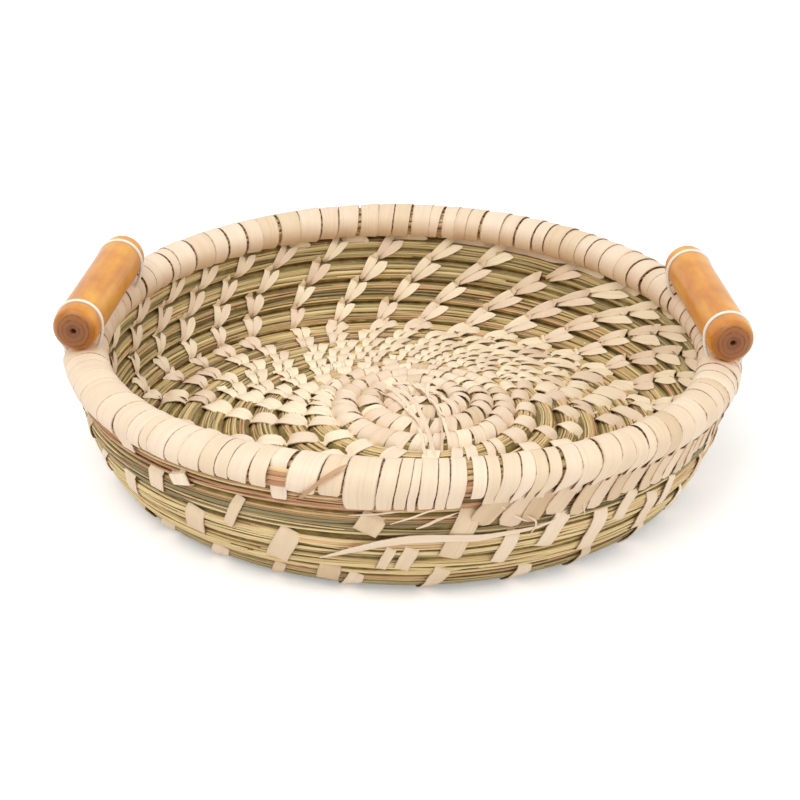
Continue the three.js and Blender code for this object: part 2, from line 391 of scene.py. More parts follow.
sweepTree = makeSweepTree()
ribbonShape = {
    "Sides": 6, "Flatness": 0.055, "Roundness": 0.3, "Unevenness": 0.0005, "Bump size": 0.008, "Sharp above": 0.9,
}


def addPiece(name, mesh, body="tray"):
    piece = bpy.data.objects.new(name, mesh)
    bpy.context.scene.collection.objects.link(piece)
    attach(piece, body)
    return piece


def sweptPiece(name, guides, shape, finish):
    guide = guides.makeObject(name + "Guide")
    modifier = guide.modifiers.new("sweep", "NODES")
    modifier.node_group = sweepTree
    sockets = {item.name: item.identifier for item in sweepTree.interface.items_tree if item.in_out == "INPUT"}
    for key, value in dict(shape, Finish=finish).items():
        modifier[sockets[key]] = value
    graph = bpy.context.evaluated_depsgraph_get()
    mesh = bpy.data.meshes.new_from_object(guide.evaluated_get(graph), preserve_all_data_layers=True, depsgraph=graph)
    guide.modifiers.remove(modifier)
    bpy.data.objects.remove(guide)
    for key in ("outward", "halfWidth"):
        if key in mesh.attributes:
            mesh.attributes.remove(mesh.attributes[key])
    if not mesh.materials:
        mesh.materials.append(finish)
    mesh.name = name
    print("made", name, sum(len(face.vertices) - 2 for face in mesh.polygons), "triangles")
    return addPiece(name, mesh)


def ringsToFaces(count, sides, closed, capped=True):
    faces = []
    for ring in range(count if closed else count - 1):
        here, there = ring * sides, ((ring + 1) % count) * sides
        for side in range(sides):
            other = (side + 1) % sides
            faces.append((here + side, here + other, there + other, there + side))
    if capped and not closed:
        faces.append(tuple(range(sides - 1, -1, -1)))
        faces.append(tuple(range((count - 1) * sides, count * sides)))
    return faces


def meshPiece(name, vertices, faces, finish, body="tray"):
    mesh = bpy.data.meshes.new(name)
    mesh.from_pydata([tuple(vertex) for vertex in vertices], [], faces)
    mesh.materials.append(finish)
    mesh.polygons.foreach_set("use_smooth", [True] * len(mesh.polygons))
    mesh.update()
    work = bmesh.new()
    work.from_mesh(mesh)
    bmesh.ops.recalc_face_normals(work, faces=work.faces)
    work.to_mesh(mesh)
    work.free()
    return addPiece(name, mesh, body)


# Materials
def ink(red, green, blue):
    # a colour as it looks on screen, turned into the linear values that nodes take
    return tuple(c / 12.92 if c <= 0.04045 else ((c + 0.055) / 1.055) ** 2.4 for c in (red, green, blue)) + (1.0,)


class Paint(Net):
    # one material
    def __init__(self, name):
        self.material = bpy.data.materials.new(name)
        self.material.use_nodes = True
        super().__init__(self.material.node_tree)
        self.shader = self.nodes["Principled BSDF"]

    def attribute(self, key, give="Fac"):
        return self.node("ShaderNodeAttribute", give=give, attribute_name=key)

    def ramp(self, value, *stops):
        # a stop is a place and a screen colour, or a place and a linear grey
        colour = self.node("ShaderNodeValToRGB", {"Fac": value})
        items = colour.node.color_ramp.elements
        while len(items) < len(stops):
            items.new(0.5)
        for item, (position, shade) in zip(items, stops):
            item.position = position
            item.color = ink(*shade) if isinstance(shade, tuple) else (shade, shade, shade, 1.0)
        return colour

    def mix(self, factor, first, second):
        second = ink(*second) if isinstance(second, tuple) else second
        return self.node("ShaderNodeMix", {0: factor, 6: first, 7: second}, give=2, data_type="RGBA")

    def spot(self, *parts):
        return self.join(*(self.times(value, scale) for value, scale in parts))

    def bump(self, height, strength, distance):
        bump = self.node("ShaderNodeBump", {"Height": height, "Strength": strength, "Distance": distance})
        self.fill(self.shader.inputs["Normal"], bump)

    def finish(self, **inputs):
        for key, value in inputs.items():
            self.fill(self.shader.inputs[key.replace("_", " ")], value)
        return self.material


def makeStreakGroup():
    # fine lines that run along a stalk or a strip
    net, given, result = newTree("fibreStreaks", "ShaderNodeTree", {
        "Across": 0.0, "Along": 0.0, "Tone": 0.0, "Lines": 6.0, "Length": 40.0}, {"Streak": "Float", "Blotch": "Float"})
    apart = net.times(given["Tone"], 173.0)
    for out, lines, length in (("Streak", 1.0, 1.0), ("Blotch", 0.15, 1.4)):
        x = net.times(given["Across"], given["Lines"], lines)
        y = net.times(given["Along"], given["Length"], length)
        net.fill(result[out], net.noise(net.join(x, y, apart), 1.0, 3.0))
    return net.tree


streakGroup = makeStreakGroup()
grassPaint = {
    "lines": 2.2, "length": 30.0, "blotches": 0.16, "lineDepth": 0.32, "lineStops": ((0.45, 0), (0.70, 1)),
    "tones": ((0.00, (0.46, 0.36, 0.18)), (0.12, (0.54, 0.465, 0.30)), (0.26, (0.64, 0.58, 0.415)),
              (0.40, (0.76, 0.685, 0.485)), (0.54, (0.83, 0.735, 0.505)), (0.68, (0.905, 0.785, 0.56)),
              (0.80, (0.955, 0.865, 0.645)), (0.90, (0.87, 0.68, 0.51)), (1.00, (0.76, 0.54, 0.39))),
    "line": (0.48, 0.37, 0.20), "relief": 0.5, "roughness": 0.62,
}
palmPaint = {
    "lines": 6.0, "length": 22.0, "blotches": 0.45, "lineDepth": 0.22, "lineStops": ((0.50, 0), (0.74, 1)),
    "tones": ((0.00, (0.83, 0.71, 0.56)), (0.25, (0.90, 0.80, 0.66)), (0.50, (0.935, 0.84, 0.725)),
              (0.75, (0.96, 0.875, 0.77)), (1.00, (1.0, 0.935, 0.81))),
    "line": (0.76, 0.63, 0.46), "relief": 0.35, "roughness": 0.5,
    # the tan below is for real stains and for painted shade where the strips go into the seams; the edge colour is
    # painted shadow along the strips' edges
    "stain": (0.72, 0.52, 0.34), "edge": (0.50, 0.36, 0.22), "edgeShadowDepth": 0.75,
}


def fibreFinish(name, plan):
    paint = Paint(name)
    tone, across, along = (paint.attribute(key) for key in ("tone", "across", "along"))
    streak, blotch = paint.node("ShaderNodeGroup", {
        "Across": across, "Along": along, "Tone": tone, "Lines": plan["lines"], "Length": plan["length"],
    }, node_tree=streakGroup).node.outputs
    shifted = paint.maths("ADD", tone, paint.times(paint.maths("SUBTRACT", blotch, 0.5), plan["blotches"]))
    lines = paint.times(paint.ramp(streak, *plan["lineStops"]), plan["lineDepth"])
    colour = paint.mix(lines, paint.ramp(shifted, *plan["tones"]), plan["line"])
    if "stain" in plan:
        # painted shade: the strips turn tan towards their ends in the seams; the same mask also carries real stains,
        # and the noise makes it patchy
        stainAndShadeMask = paint.maths("MULTIPLY", paint.attribute("stain"), paint.maths("ADD", blotch, 0.25), clamp=True)
        colour = paint.mix(stainAndShadeMask, colour, plan["stain"])
        # painted shadow: a dark line along each strip's edges, where one strip overlaps the next, broken up by noise
        edge = paint.ramp(paint.maths("ABSOLUTE", across), (0.90, 0), (0.985, 1))
        edgeShadowBreaks = paint.noise(paint.spot((along, 420.0), (tone, 97.0), (across, 1.0)), 1.0, 1.0)
        reach = paint.noise(paint.spot((along, 45.0), (tone, 61.0), (across, 1.0)), 1.0, 1.0)
        edgeShadowBreaks = paint.ramp(edgeShadowBreaks, (0.32, 0.35), (0.60, 1))
        reach = paint.ramp(reach, (0.40, 0.25), (0.58, 1))
        colour = paint.mix(paint.times(edge, edgeShadowBreaks, reach, plan["edgeShadowDepth"]), colour, plan["edge"])
    paint.bump(streak, plan["relief"], 0.0003)
    return paint.finish(Base_Color=colour, Roughness=plan["roughness"])


def coreFinish():
    paint = Paint("bundleShade")
    cloud = paint.noise(paint.node("ShaderNodeTexCoord", give="Object"), 160.0, 3.0)
    paint.bump(cloud, 0.6, 0.0006)
    base = paint.ramp(cloud, (0.3, (0.45, 0.36, 0.18)), (0.7, (0.64, 0.55, 0.32)))
    return paint.finish(Base_Color=base, Roughness=0.8)


dryGrass = fibreFinish("dryGrass", grassPaint)
palmStrip = fibreFinish("palmStrip", palmPaint)
bundleShade = coreFinish()
print("materials ready")

# The solid inside of the bundle, which shows only as shade between the stalks
corePlan = {
    "inset": 0.0014,
    "overlap": 0.0006,
    "underRim": 0.0014,  # how far the top row reaches up under the rim
    "underRimFrom": 14.3,
    "underRimEase": 0.04,
    "patch": 0.0012,  # more of it where the coil ends
    "patchTurns": (14.33, 14.52),
    "flatAt": 0.0022,
    "stepsPerTurn": 72,
    "sides": 16,
}


def makeBundleCore(plan):
    # it reaches just over each seam, and up to the rim, so that no light comes through the wall
    firstTurn = -tray["startTurns"]
    count = int((coilEnd - firstTurn) * plan["stepsPerTurn"])
    turns = np.linspace(firstTurn, coilEnd, count)[:, None]
    section = (np.arange(plan["sides"]) * fullTurn / plan["sides"])[None, :]
    lower, upper = rowEdges(turns)
    patchFrom, patchTo = plan["patchTurns"]
    upper = upper + plan["underRim"] * np.clip((turns - plan["underRimFrom"]) / plan["underRimEase"], 0, 1)
    upper = upper + plan["patch"] * ((turns > patchFrom) & (turns < patchTo))
    distance = (lower + upper) / 2 + ((upper - lower) / 2 + plan["overlap"]) * squared(np.cos(section))
    depth = np.maximum(rowThickness(turns) - plan["inset"], 0.0005) * squared(np.sin(section), 0.85)
    points = placed(np.maximum(distance, 0.0004), depth, fullTurn * turns)
    points[..., 2] = np.maximum(points[..., 2], plan["flatAt"])
    faces = ringsToFaces(count, plan["sides"], False)
    return meshPiece("bundleCore", points.reshape(-1, 3), faces, bundleShade)


bundleCore = makeBundleCore(corePlan)
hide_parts("straw_coil")
print("bundle core made")

# The stalks of dry grass along the bundle
stalkPlan = {
    "seed": 11,
    "lanes": 34,
    "radius": (0.00045, 0.00085),
    "bladeRadius": (0.0009, 0.0013),
    "bladeShare": 0.22,
    "length": (0.14, 0.55),
    "wander": 0.15,
    "waves": (0.02, 0.07),
    "freeEnds": 0.01,
    "gap": (0.0005, 0.004),  # from one stalk to the next, lengthwise
    "flatAt": 0.0009,
    # name, first turn, last turn and the length between two points of a stalk
    "pieces": (("strawFloorInner", 2.0, 7.6, 0.0066), ("strawFloorOuter", 7.6, 10.0, 0.0066),
               ("strawWallLower", 10.0, 12.7, 0.0080), ("strawWallUpper", 12.7, coilEnd, 0.0080)),
    "shape": {"Sides": 5, "Flatness": 0.85, "Unevenness": 0.0005, "Bump size": 0.006},
    "odd": ((0.09, 0.02, 0.16), (0.14, 0.86, 1.0), (0.22, 0.60, 0.82)),  # weathered brown, reddish and yellow ones
}
grassZones = {  # the middle of the tones in each zone, and their spread
    "floorLeft": (0.42, 0.14),
    "floor": (0.65, 0.14),
    # the back of the floor: paler straw, and lighter tones as painted light against the shade of the wall
    "floorBackPaleAndPaintedLight": (0.75, 0.09),
    "insideYellow": (0.64, 0.10),
    "insideGreen": (0.36, 0.11),
    "insideOlive": (0.50, 0.15),
    "outsidePink": (0.92, 0.06),
    "outsideGreen": (0.20, 0.08),
    "outsideStraw": (0.77, 0.045),
    "outsideFoot": (0.44, 0.12),
}


def grassZone(turns, section):
    angle = (turns % 1) * 360
    if turns < 9.8:
        if 35 < angle < 125 and turns > 3.5:
            return "floorBackPaleAndPaintedLight"
        return "floorLeft" if 125 < angle < 265 and turns > 5 else "floor"
    if math.sin(section) > 0:
        if turns > 14.95 or (turns > 13.9 and math.cos(section) > 0.1 and angle > 110):
            return "insideYellow"
        return "insideGreen" if turns > 12.9 and (angle < 110 or turns > 13.9) else "insideOlive"
    if turns > 14.15 or (turns > 13.15 and math.cos(section) > 0.55):
        return "outsidePink"
    if turns > 13.15:
        return "outsideGreen"
    return "outsideStraw" if turns > 11.1 else "outsideFoot"


def grassTone(rng, turns, section):
    middle, spread = grassZones[grassZone(turns, section)]
    pick = rng.random()
    for share, least, most in stalkPlan["odd"]:
        if pick < share:
            return rng.uniform(least, most)
    return float(np.clip(rng.normal(middle, spread), 0.04, 0.98))


def makeStalks(name, firstTurn, lastTurn, step, plan, seed):
    rng = np.random.default_rng(seed)
    guides = Guides()
    for lane in range(plan["lanes"]):
        home = (lane + 0.5) / plan["lanes"]
        turns = firstTurn - 0.02
        while turns < lastTurn:
            reach = fullTurn * max(float(placed(rowMiddle(turns), 0, 0)[0]), 0.02)
            end = min(turns + rng.uniform(*plan["length"]) / reach, lastTurn)
            count = max(int((end - turns) * reach / step), 4)
            along = np.linspace(turns, end, count)
            waves = sum(rng.normal() * np.sin(along * reach / rng.uniform(*plan["waves"]) + rng.uniform(0, fullTurn))
                        for _ in range(3))
            section = sectionAt(home + plan["wander"] / fullTurn * waves / 1.7)
            radius = rng.uniform(*plan["bladeRadius" if rng.random() < plan["bladeShare"] else "radius"])
            width = np.full(count, radius)
            width[[0, -1]] *= 0.5
            free = rng.uniform(0.6, 1.6) if rng.random() < plan["freeEnds"] else 0.0
            sink = 0.0003 * rng.uniform(0, 1) - 0.001 * free * np.linspace(0, 1, count) ** 3
            points = onBundle(along, section, radius + sink)
            points[:, 2] = np.maximum(points[:, 2], radius + plan["flatAt"])
            tone = grassTone(rng, (turns + end) / 2, float(sectionAt(home)))
            guides.addRound(points, onBundle(along, section, halfBundle), width, tone)
            turns = end + rng.uniform(*plan["gap"]) / reach
    return sweptPiece(name, guides, dict(plan["shape"], Seed=float(seed)), dryGrass)


for number, (name, firstTurn, lastTurn, step) in enumerate(stalkPlan["pieces"]):
    makeStalks(name, firstTurn, lastTurn, step, stalkPlan, stalkPlan["seed"] + number)

# The stitches of split palm leaf, in columns that drift clockwise from row to row. The floor starts
# with 24 columns, and after every fourth a new one starts further out, so the wall has 30.
stitchPlan = {
    "seed": 23,
    "columns": 30,
    "firstTurn": 3.0,
    "newColumnTurn": 5.0,
    "sparseGroups": (3, 4),  # on the left of the floor the new columns start only near the wall
    "sparseTurn": 8.7,
    "lastTurn": coilEnd - 0.01,
    "floorDrift": 5.5,  # degrees from one row to the next
    "wallDrift": 4.5,
    "phase": 0.6,
    "gather": 20.0,  # how far the columns of the floor are gathered towards the back, in degrees
    "gatherAt": 85.0,
    "gatherRight": ((3, 0.4), (5, 1.0), (8.5, 1.0), (10.3, 0.75), (11.3, 0.75), (12.3, 0.65), (13.3, 0.4), (14.5, 0.0)),
    "gatherLeft": ((3, 0.4), (5, 1.0), (8.4, 1.2), (10.4, 0.5), (11.4, 0.22), (12.4, 0.06), (13.4, 0.0)),
    # degrees that bring each column to its place in the photo, by its direction at the top row
    "nudges": ((0, -5.0), (12, -5.6), (30, -6.4), (54, -5.0), (66, -1.0), (114, -0.8), (126, -3.2),
               (138, -5.4), (150, -8.0), (162, -8.4), (190, -5.0), (330, -4.0), (360, -5.0)),
    "steeper": ((0, 0), (40, 0.5), (50, 5), (80, 3), (100, 0)),  # degrees that the top row leans more
    "wrapTurns": (3.15, 1.0),  # where the strip stops covering the whole bundle, and how much more at the back
    "lift": 0.00035,
    # the stitches on the inside take a paler tone than those on the rim and the outside: partly the palm's own pale
    # cream, partly painted light for the inside of the bowl
    "tone": (0.86, 0.14),
    # the forked stitches at the back of the floor get a paler tone: a yellower cream, and painted light against the
    # shade there
    "forkedPaleAndPaintedLight": 0.08,
}
# Their outlines: each is read at places from the lower edge of the row, -1, to the upper edge, 1
wallStitchPlan = {
    "places": (-1.08, -0.9, -0.6, -0.25, 0.15, 0.5, 0.8, 1.0, 1.26),
    "fork": (0.3, 0.9),
    "topFork": (0.1, 0.45),
    "spread": ((-1.1, 0.28), (-0.4, 0.60), (0.3, 0.95), (0.8, 1.05)),
    "width": ((-1.1, 0.30), (-0.4, 0.64), (0.3, 1.0), (0.8, 0.98), (1.0, 0.74), (1.26, 0.15)),
    "sink": ((-1.08, -0.0024), (-0.9, -0.0008), (-0.6, 0.0)),
    # painted shade: tan towards the stitch's lower end, where it goes into the seam
    "stain": ((-1.0, 0.55), (-0.3, 0.2), (0.4, 0.0)),
    "size": (0.0098, 0.0134),
    "bridge": 0.48,
}
floorStitchPlan = {
    "places": (-1.14, -0.95, -0.7, -0.35, 0.0, 0.35, 0.7, 0.95, 1.14),
    "forkedFrom": 5.0,  # they are forked from this turn on, between these directions
    "forkedAngles": (35, 158),
    "sink": ((-1.14, -0.0022), (-0.95, -0.0006), (-0.7, 0), (0.7, 0), (0.95, -0.0004), (1.14, -0.0016)),
    "forked": {"fork": (0.10, 0.50), "base": (0.40, 0.58), "size": (0.0122, 0.0150), "bridge": 0.62},
    "band": {"fork": (0.0, 0.30), "base": (0.62, 0.86), "size": (0.0108, 0.0148), "bridge": 0.34},
    "splitBands": 0.2,  # the share of the bands that is split in two
}


def gathered(turns, angle, plan):
    aside = math.sin(math.radians(angle - plan["gatherAt"]))
    side = plan["gatherRight"] if aside < 0 else plan["gatherLeft"]
    return plan["gather"] * float(steps(turns, *side)) * aside


def columnDrift(turns, plan):
    around = (turns % 1) * 360
    steady = plan["floorDrift"] if turns < 10 else plan["wallDrift"]
    return steady + gathered(turns + 0.5, around, plan) - gathered(turns - 0.5, around, plan)


def newColumnStart(column, plan):
    return plan["sparseTurn"] if column // 5 in plan["sparseGroups"] else plan["newColumnTurn"]


def columnAngle(column, turns, plan):
    group, place = divmod(column, 5)
    onFloor = 60 * group + (15 * place if place < 4 else 52.5)
    onWall = 60 * group + 12 * place
    share = min(max((turns - newColumnStart(column, plan) + 0.2) / 2, 0), 1)
    share = share * share * (3 - 2 * share)
    drift = plan["floorDrift"] * min(turns, 10) + plan["wallDrift"] * max(turns - 10, 0)
    atTop = (onWall - plan["floorDrift"] * 10 - plan["wallDrift"] * 5.25 + plan["phase"]) % 360
    nudge = float(steps(atTop, *plan["nudges"]))
    angle = onFloor + (onWall - onFloor) * share - drift + plan["phase"] + nudge
    return angle - gathered(turns, angle, plan)


def wrapLimit(turns):
    limit, more = stitchPlan["wrapTurns"]
    return limit + more * max(math.sin(fullTurn * turns), 0.0)


def stitchPlaces(plan):
    places = []
    for column in range(plan["columns"]):
        first = plan["firstTurn"] if column % 5 < 4 else newColumnStart(column, plan)
        for row in range(int(first), 16):
            turns = row + 0.5
            for _ in range(12):
                turns = row + (columnAngle(column, turns, plan) / 360) % 1
            if first <= turns <= plan["lastTurn"] and turns > wrapLimit(turns):
                places.append(turns)
    places.sort()
    return [turns for number, turns in enumerate(places) if number == 0 or (turns - places[number - 1]) * 360 > 5]


def wallStitch(rng, topRow, plan):
    # forked above, round the one that follows it, and drawn together below
    q = np.array(plan["places"])
    fork = rng.uniform(*plan["topFork" if topRow else "fork"])
    spread = steps(q, *plan["spread"], (1.26, 1.05 + fork))
    size = rng.uniform(*plan["size"]) / 2
    stain = steps(q, *plan["stain"]) * rng.uniform(0.0, 1.0)
    return q, spread, steps(q, *plan["width"]), size, steps(q, *plan["sink"]), stain, plan["bridge"], 2


def floorStitch(rng, turns, around, radius, plan):
    # a band, or at the back a narrower one that is forked
    q = np.array(plan["places"])
    forked = turns > plan["forkedFrom"] and plan["forkedAngles"][0] < around < plan["forkedAngles"][1]
    kind = plan["forked" if forked else "band"]
    fork, base, broad = (rng.uniform(*kind[key]) for key in ("fork", "base", "size"))
    spread = steps(q, (-1.14, base), (-0.3, 0.94), (0.5, 1.0), (1.14, 1.0 + fork))
    width = steps(q, (-1.14, base), (-0.3, 0.96), (0.5, 1.0), (1.14, 0.82))
    sine, cosine = math.sin(fullTurn * turns), math.cos(fullTurn * turns)
    room = fullTurn * radius / stitchPlan["columns"] * (1.1 - 0.45 * sine)
    broad *= 1.0 if forked else 1.0 + 0.25 * max(sine, 0) + 0.15 * max(-cosine, 0)
    parts = 2 if forked or rng.random() < plan["splitBands"] else 1
    return q, spread, width, min(broad, 0.92 * room) / 2, steps(q, *plan["sink"]), 0.0, kind["bridge"], parts


def stitchInside(guides, rng, turns, plan):
    lower, upper = (float(v) for v in rowEdges(turns))
    middle, half = (lower + upper) / 2, (upper - lower) / 2
    onWall, topRow = turns > 10.4, turns > 15
    around = (turns % 1) * 360
    radius = float(np.hypot(*placed(middle, 0, fullTurn * turns)[:2]))
    steeper = rng.uniform(0.0, 1.4) if onWall and around < 85 else 0.0
    if topRow:
        steeper = 15.0 if 60 < around < 70 else float(steps(around, *plan["steeper"]))
    lean = math.radians(columnDrift(turns, plan) + steeper + rng.normal() * (0.4 if onWall else 0.9))
    start = fullTurn * turns + lean / 2 + rng.normal() * (0.006 if onWall else 0.012)
    q, spread, width, size, sink, stain, bridge, parts = (
        wallStitch(rng, topRow, wallStitchPlan) if onWall else
        floorStitch(rng, turns, around, radius, floorStitchPlan))
    distance = middle + q * half
    sweep = start - lean * (q + 1) / 2
    length = math.hypot(2 * half, lean * radius)
    square, skewed = 2 * half / length, lean * radius / length
    seam = upper + 0.0004 if turns > coilTurns - 1 else 1.0
    tone = float(np.clip(rng.normal(*plan["tone"]), 0.2, 1.1))
    # painted light: the forked stitches at the back of the floor are paler
    if bridge == floorStitchPlan["forked"]["bridge"]:
        tone += plan["forkedPaleAndPaintedLight"]
    for part in range(parts):
        hand = 0.0 if parts == 1 else 2 * part / (parts - 1) - 1
        aside = hand * size * (1 - 1 / parts) * spread
        angle = sweep + aside * square / radius
        level = np.minimum(distance + aside * skewed, seam)
        points = onCover(level, angle, 1, plan["lift"] + sink + 0.00014 * part, bridge)
        guides.addOn(points, level, angle, size / parts * width * (1.0 if parts == 1 else 1.10),
                     tone + rng.normal() * 0.06, tilt=hand * 0.09 + rng.normal() * 0.03, stain=stain)


# The stitches on the outside, with those that the photo shows on the front of the wall: distance along
# the surface and direction at the upper and at the lower end, and the width
outsidePlan = {
    "seen": (
        (0.2085, 226.4, 0.1945, 226.0, 0.0120), (0.2125, 231.6, 0.2050, 232.6, 0.0171),
        (0.1925, 234.2, 0.1750, 232.6, 0.0137), (0.2080, 243.9, 0.1870, 240.3, 0.0071),
        (0.1935, 252.3, 0.1715, 248.3, 0.0142), (0.2080, 266.2, 0.1975, 264.2, 0.0154),
        (0.1900, 268.9, 0.1730, 266.6, 0.0066), (0.1900, 272.2, 0.1730, 270.0, 0.0091),
        (0.2110, 281.2, 0.1810, 277.7, 0.0142), (0.1960, 288.6, 0.1745, 286.2, 0.0097),
        (0.2040, 297.0, 0.1815, 293.8, 0.0120), (0.1975, 304.9, 0.1700, 302.9, 0.0120),
        (0.2060, 311.0, 0.1860, 308.4, 0.0097), (0.1950, 317.2, 0.1700, 315.6, 0.0114),
        (0.2020, 321.9, 0.1800, 320.2, 0.0097), (0.1735, 258.4, 0.1600, 256.9, 0.0137),
        (0.1745, 277.4, 0.1620, 275.9, 0.0108), (0.1720, 215.5, 0.1590, 214.5, 0.0114),
        (0.1960, 217.6, 0.1800, 216.6, 0.0114),
    ),
    "seenAngles": (205.0, 326.0),
    "seenAbove": 0.170,
    "share": 0.9,
    "reach": 1.12,
    "width": (0.0070, 0.0115),
    "slant": (1.2, 3.4),
    "bridge": 0.93,
    "sink": ((0, -0.0022), (0.10, 0.0), (0.90, 0.0), (1.0, -0.0022)),
    "taper": ((0, 0.92), (0.2, 1.0), (1, 0.95)),
    "tone": (0.45, 0.2),
    "flatBelow": 0.0085,  # near the surface that the tray stands on they lie flat
    "flatAt": 0.0008,
}


def stitchOutside(guides, rng, upperEnd, lowerEnd, width, plan):
    q = np.linspace(0, 1, 8)
    distance = upperEnd[0] + (lowerEnd[0] - upperEnd[0]) * q
    angle = np.radians(upperEnd[1] + (lowerEnd[1] - upperEnd[1]) * q)
    points = onCover(distance, angle, -1, stitchPlan["lift"] + steps(q, *plan["sink"]), plan["bridge"])
    outward = points - placed(distance, 0.0, angle)
    outward[:, :2] *= np.clip(points[:, 2:] / plan["flatBelow"] - 0.15, 0.0, 1)
    points[:, 2] = np.maximum(points[:, 2], plan["flatAt"])
    guides.add(points, outward, width / 2 * steps(q, *plan["taper"]),
               np.clip(rng.normal(*plan["tone"]), 0, 1), tilt=rng.normal() * 0.04)


def makeStitches(plan, outer):
    rng = np.random.default_rng(plan["seed"])
    inside, outside = Guides(), Guides()
    for turns in stitchPlaces(plan):
        stitchInside(inside, rng, turns, plan)
        lower, upper = (float(v) for v in rowEdges(turns))
        around = (turns % 1) * 360
        seen = outer["seenAngles"][0] < around < outer["seenAngles"][1] and upper > outer["seenAbove"]
        if rng.random() < outer["share"] and not seen and upper - lower > 0.006:
            middle, reach = (lower + upper) / 2, outer["reach"] * (upper - lower) / 2
            slant = rng.uniform(*outer["slant"]) * min(0.17 / max(middle, 0.02), 3)
            direction = around + rng.normal() * 0.8
            ends = (middle + reach, direction + slant / 2), (middle - reach, direction - slant / 2)
            stitchOutside(outside, rng, *ends, rng.uniform(*outer["width"]), outer)
    for top, topAngle, low, lowAngle, width in outer["seen"]:
        stitchOutside(outside, rng, (top, topAngle), (low, lowAngle), width, outer)
    sweptPiece("stitchesInside", inside, dict(ribbonShape, Seed=3.0), palmStrip)
    sweptPiece("stitchesOutside", outside, dict(ribbonShape, Seed=4.0), palmStrip)


makeStitches(stitchPlan, outsidePlan)

# The middle of the floor, where the strip covers the whole bundle, and the thin ends that cross it
centrePlan = {
    "seed": 31,
    "pitches": ((-0.7, 0.0045), (0.5, 0.0065), (1.5, 0.0085), (4.2, 0.0112)),
    "lift": 0.0003,
    "lean": 0.0030,
    "lastTurn": 4.2,
    "crossings": (  # start and end of each thin strip, in metres from the middle of the spiral
        (-0.022, 0.012, 0.006, -0.066), (-0.016, 0.015, 0.012, -0.070), (-0.011, 0.018, 0.014, -0.058),
        (-0.026, 0.006, 0.002, -0.040), (-0.006, 0.017, 0.018, -0.050), (0.004, 0.016, 0.016, -0.030),
        (-0.020, 0.017, 0.020, -0.018),
    ),
    "bow": 0.004,
}


def makeCentreWrap(plan):
    rng = np.random.default_rng(plan["seed"])
    guides = Guides()
    turns = -tray["startTurns"] + 0.12
    while turns < plan["lastTurn"]:
        reach = fullTurn * max(float(rowSpan(turns)[0]), 0.004)
        pitch = float(steps(turns, *plan["pitches"])) * rng.uniform(0.75, 1.2)
        if turns < wrapLimit(turns):
            section = sectionAt(np.linspace(0, 0.9999, 21))
            along = turns - plan["lean"] / reach * rng.uniform(0.2, 1.6) * np.cos(section)
            points = onBundle(along, section, -plan["lift"] * rng.uniform(0.6, 1.8))
            tone = np.clip(rng.normal(0.62, 0.2), 0, 1)
            heart = onBundle(along, section, halfBundle)
            guides.addRound(points, heart, pitch * 0.53, tone, tilt=rng.uniform(0.03, 0.12))
        turns += pitch / reach
    share = np.linspace(0, 1, 18)
    ends = steps(share, (0, -0.0025), (0.06, 0.0), (0.94, 0.0), (1.0, -0.0025))
    for startX, startY, endX, endY in plan["crossings"]:
        bow = plan["bow"] * rng.normal() * np.sin(math.pi * share)
        x = startX + (endX - startX) * share + bow
        y = startY + (endY - startY) * share + 0.3 * bow
        distance, angle = np.hypot(x, y), np.arctan2(y, x)
        points = onCover(np.maximum(distance, 0.001), angle, 1, 0.0009 + 0.0004 * rng.random() + ends, 0.80)
        twist = math.radians(25) * rng.normal()
        guides.addOn(points, distance, angle, 0.0011 + 0.0005 * rng.random(), rng.uniform(0.5, 0.9), tilt=twist)
    sweptPiece("centreWrap", guides, dict(ribbonShape, Seed=5.0), palmStrip)


makeCentreWrap(centrePlan)

